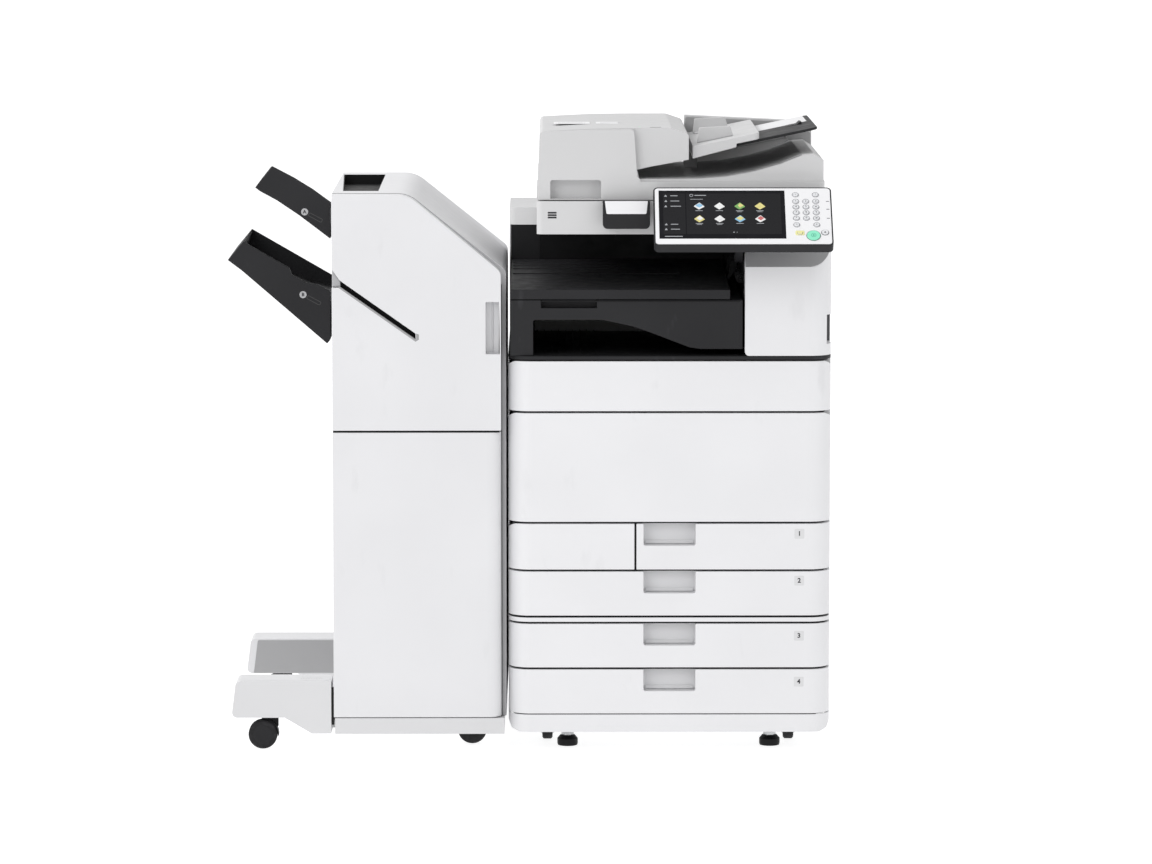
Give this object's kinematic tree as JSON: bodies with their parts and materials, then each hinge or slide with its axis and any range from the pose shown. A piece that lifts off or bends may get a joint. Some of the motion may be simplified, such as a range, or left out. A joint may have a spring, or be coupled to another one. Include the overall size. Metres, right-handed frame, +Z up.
{
  "type": "photocopier",
  "caption": "Floor-standing office photocopier: document feeder on a reader, tilting touch panel, in-body output bay, stacked paper drawers and a side stapling finisher with stacking trays.",
  "frame": {"origin": "centre of the whole machine's box, on the floor", "axes": "+Z up, +Y towards the back, +X to the right as seen from the front"},
  "size_m": [1.161, 0.744, 1.1988],
  "materials": {
    "white_cover": "fine moulded texture",
    "grey_cover": "fine moulded texture",
    "finisher_cover": "fine moulded texture",
    "cassette_grey": "satin",
    "dark_plastic": "fine moulded texture",
    "black_plastic": "satin",
    "steel": "zinc plated sheet",
    "rubber": "worn tread",
    "platen_glass": "polished",
    "panel_white": "satin gloss",
    "screen_glass": "polished",
    "key_grey": "satin",
    "key_green": "translucent satin",
    "toner_1": "satin",
    "toner_2": "satin",
    "toner_3": "satin",
    "toner_4": "satin"
  },
  "bodies": {
    "root": {"main_frame": "steel", "pedestal_cover": "white_cover", "left_cover": "white_cover", "rear_cover": "white_cover", "power_inlet": "black_plastic", "output_bay": "dark_plastic", "right_column_cover": "white_cover", "relay_unit": "dark_plastic", "reader_housing": "grey_cover", "platen_glass": "platen_glass", "adjuster_feet": "black_plastic", "panel_arm": "dark_plastic", "imaging_unit": "dark_plastic", "fuser_unit": "dark_plastic", "finisher_shell": "finisher_cover", "finisher_lower_cover": "finisher_cover", "finisher_base": "finisher_cover"},
    "front_wheels": {"front_casters": "rubber"},
    "rear_wheels": {"rear_casters": "rubber"},
    "relay_lid": {"relay_cover": "dark_plastic"},
    "toner_door": {"toner_cover": "white_cover"},
    "front_door": {"front_cover": "white_cover"},
    "waste_door": {"waste_toner_cover": "white_cover"},
    "side_door": {"right_door": "white_cover"},
    "bypass": {"bypass_tray": "white_cover"},
    "carriage": {"scan_carriage": "dark_plastic"},
    "adf": {"adf_body": "grey_cover", "lift_handle": "dark_plastic"},
    "feeder_lid": {"feeder_cover": "grey_cover"},
    "document_tray_body": {"document_tray": "grey_cover"},
    "extension": {"tray_extension": "dark_plastic"},
    "front_guide": {"guide_front": "grey_cover"},
    "rear_guide": {"guide_rear": "grey_cover"},
    "panel": {"panel_housing": "dark_plastic", "panel_face": "panel_white", "touch_screen": "screen_glass"},
    "numeric_key_mat": {"numeric_keys": "key_grey"},
    "start_button": {"start_key": "key_green"},
    "stop_button": {"stop_key": "key_grey"},
    "finisher_front_door": {"finisher_door": "finisher_cover"},
    "stapler": {"stapler_unit": "steel"},
    "upper_stack_tray": {"tray_a": "dark_plastic"},
    "lower_stack_tray": {"tray_b": "dark_plastic"},
    "front_swivel": {"caster_fork_front": "black_plastic"},
    "rear_swivel": {"caster_fork_rear": "black_plastic"},
    "front_caster_wheel": {"caster_wheel_front": "rubber"},
    "rear_caster_wheel": {"caster_wheel_rear": "rubber"},
    "fixed_rollers": {"finisher_rollers": "rubber"},
    "drawer_1": {"drawer_front_1": "white_cover", "cassette_1": "cassette_grey"},
    "drawer_2": {"drawer_front_2": "white_cover", "cassette_2": "cassette_grey"},
    "drawer_3": {"drawer_front_3": "white_cover", "cassette_3": "cassette_grey"},
    "drawer_4": {"drawer_front_4": "white_cover", "cassette_4": "cassette_grey"},
    "bottle_1": {"toner_bottle_1": "toner_1"},
    "bottle_2": {"toner_bottle_2": "toner_2"},
    "bottle_3": {"toner_bottle_3": "toner_3"},
    "bottle_4": {"toner_bottle_4": "toner_4"}
  },
  "joints": [
    {"name": "drawer_1_slide", "type": "slide", "parent": "root", "child": "drawer_1", "axis": [0, -1, 0], "range_m": [0, 0.42]},
    {"name": "drawer_2_slide", "type": "slide", "parent": "root", "child": "drawer_2", "axis": [0, -1, 0], "range_m": [0, 0.42]},
    {"name": "drawer_3_slide", "type": "slide", "parent": "root", "child": "drawer_3", "axis": [0, -1, 0], "range_m": [0, 0.42]},
    {"name": "drawer_4_slide", "type": "slide", "parent": "root", "child": "drawer_4", "axis": [0, -1, 0], "range_m": [0, 0.42]},
    {"name": "toner_bottle_1_spin", "type": "hinge", "parent": "root", "child": "bottle_1", "pos_m": [0.0605, -0.188, 0.705], "axis": [0, 1, 0], "continuous": true},
    {"name": "toner_bottle_2_spin", "type": "hinge", "parent": "root", "child": "bottle_2", "pos_m": [0.1655, -0.188, 0.705], "axis": [0, 1, 0], "continuous": true},
    {"name": "toner_bottle_3_spin", "type": "hinge", "parent": "root", "child": "bottle_3", "pos_m": [0.2705, -0.188, 0.705], "axis": [0, 1, 0], "continuous": true},
    {"name": "toner_bottle_4_spin", "type": "hinge", "parent": "root", "child": "bottle_4", "pos_m": [0.3755, -0.188, 0.705], "axis": [0, 1, 0], "continuous": true},
    {"name": "front_wheels_spin", "type": "hinge", "parent": "root", "child": "front_wheels", "pos_m": [0.2705, -0.122, 0.021], "axis": [1, 0, 0], "continuous": true},
    {"name": "rear_wheels_spin", "type": "hinge", "parent": "root", "child": "rear_wheels", "pos_m": [0.2705, 0.27, 0.021], "axis": [1, 0, 0], "continuous": true},
    {"name": "relay_cover_hinge", "type": "hinge", "parent": "root", "child": "relay_lid", "pos_m": [0.2705, 0.254, 0.878], "axis": [-1, 0, 0], "range_deg": [0, 9]},
    {"name": "toner_cover_hinge", "type": "hinge", "parent": "root", "child": "toner_door", "pos_m": [0.2705, -0.246, 0.661], "axis": [1, 0, 0], "range_deg": [0, 88]},
    {"name": "front_cover_hinge", "type": "hinge", "parent": "root", "child": "front_door", "pos_m": [0.2705, -0.246, 0.447], "axis": [1, 0, 0], "range_deg": [0, 88]},
    {"name": "waste_toner_cover_hinge", "type": "hinge", "parent": "root", "child": "waste_door", "pos_m": [0.0825, -0.246, 0.3545], "axis": [1, 0, 0], "range_deg": [0, 88]},
    {"name": "right_door_hinge", "type": "hinge", "parent": "root", "child": "side_door", "pos_m": [0.5765, 0.306, 0.6], "axis": [0, 0, 1], "range_deg": [0, 80]},
    {"name": "bypass_tray_hinge", "type": "hinge", "parent": "side_door", "child": "bypass", "pos_m": [0.577, 0.03, 0.4855], "axis": [0, 1, 0], "range_deg": [0, 65]},
    {"name": "scan_carriage_slide", "type": "slide", "parent": "root", "child": "carriage", "axis": [1, 0, 0], "range_m": [0, 0.36]},
    {"name": "adf_hinge", "type": "hinge", "parent": "root", "child": "adf", "pos_m": [0.2855, 0.316, 1.0705], "axis": [-1, 0, 0], "range_deg": [0, 70]},
    {"name": "feeder_cover_hinge", "type": "hinge", "parent": "adf", "child": "feeder_lid", "pos_m": [0.0235, 0.038, 1.124], "axis": [0, -1, 0], "range_deg": [0, 60]},
    {"name": "document_tray_hinge", "type": "hinge", "parent": "adf", "child": "document_tray_body", "pos_m": [0.3205, 0.03, 1.148], "axis": [0, -1, 0], "range_deg": [0, 20]},
    {"name": "tray_extension_slide", "type": "slide", "parent": "document_tray_body", "child": "extension", "axis": [0.9788, 0, 0.2046], "range_m": [-0.044, 0]},
    {"name": "guide_front_slide", "type": "slide", "parent": "document_tray_body", "child": "front_guide", "axis": [0, 1, 0], "range_m": [0, 0.07]},
    {"name": "guide_rear_slide", "type": "slide", "parent": "document_tray_body", "child": "rear_guide", "axis": [0, 1, 0], "range_m": [-0.07, 0]},
    {"name": "panel_tilt", "type": "hinge", "parent": "root", "child": "panel", "pos_m": [0.4025, -0.30884, 0.99818], "axis": [1, 0, 0], "range_deg": [0, 35]},
    {"name": "numeric_keys_press", "type": "slide", "parent": "panel", "child": "numeric_key_mat", "axis": [0, 0.6561, -0.7547], "range_m": [0, 0.0012], "stiffness_N_per_m": 300},
    {"name": "start_key_press", "type": "slide", "parent": "panel", "child": "start_button", "axis": [0, 0.6561, -0.7547], "range_m": [0, 0.0012], "stiffness_N_per_m": 300},
    {"name": "stop_key_press", "type": "slide", "parent": "panel", "child": "stop_button", "axis": [0, 0.6561, -0.7547], "range_m": [0, 0.0012], "stiffness_N_per_m": 300},
    {"name": "finisher_door_hinge", "type": "hinge", "parent": "root", "child": "finisher_front_door", "pos_m": [-0.3725, -0.246, 0.85], "axis": [0, 0, -1], "range_deg": [0, 100]},
    {"name": "stapler_slide", "type": "slide", "parent": "root", "child": "stapler", "axis": [0, 1, 0], "range_m": [0, 0.25]},
    {"name": "upper_tray_lift", "type": "slide", "parent": "root", "child": "upper_stack_tray", "axis": [0, 0, -1], "range_m": [0, 0.03]},
    {"name": "lower_tray_lift", "type": "slide", "parent": "root", "child": "lower_stack_tray", "axis": [0, 0, -1], "range_m": [0, 0.5]},
    {"name": "front_caster_swivel", "type": "hinge", "parent": "root", "child": "front_swivel", "pos_m": [-0.4945, -0.223, 0.06], "axis": [0, 0, 1], "continuous": true},
    {"name": "front_caster_spin", "type": "hinge", "parent": "front_swivel", "child": "front_caster_wheel", "pos_m": [-0.5145, -0.223, 0.028], "axis": [0, 1, 0], "continuous": true},
    {"name": "rear_caster_swivel", "type": "hinge", "parent": "root", "child": "rear_swivel", "pos_m": [-0.4945, 0.326, 0.06], "axis": [0, 0, 1], "continuous": true},
    {"name": "rear_caster_spin", "type": "hinge", "parent": "rear_swivel", "child": "rear_caster_wheel", "pos_m": [-0.5145, 0.326, 0.028], "axis": [0, 1, 0], "continuous": true},
    {"name": "fixed_rollers_spin", "type": "hinge", "parent": "root", "child": "fixed_rollers", "pos_m": [-0.1105, 0.05, 0.028], "axis": [0, 1, 0], "continuous": true}
  ],
  "couplings": [
    {"joint": "guide_rear_slide", "follows": "guide_front_slide", "ratio": -1}
  ]
}
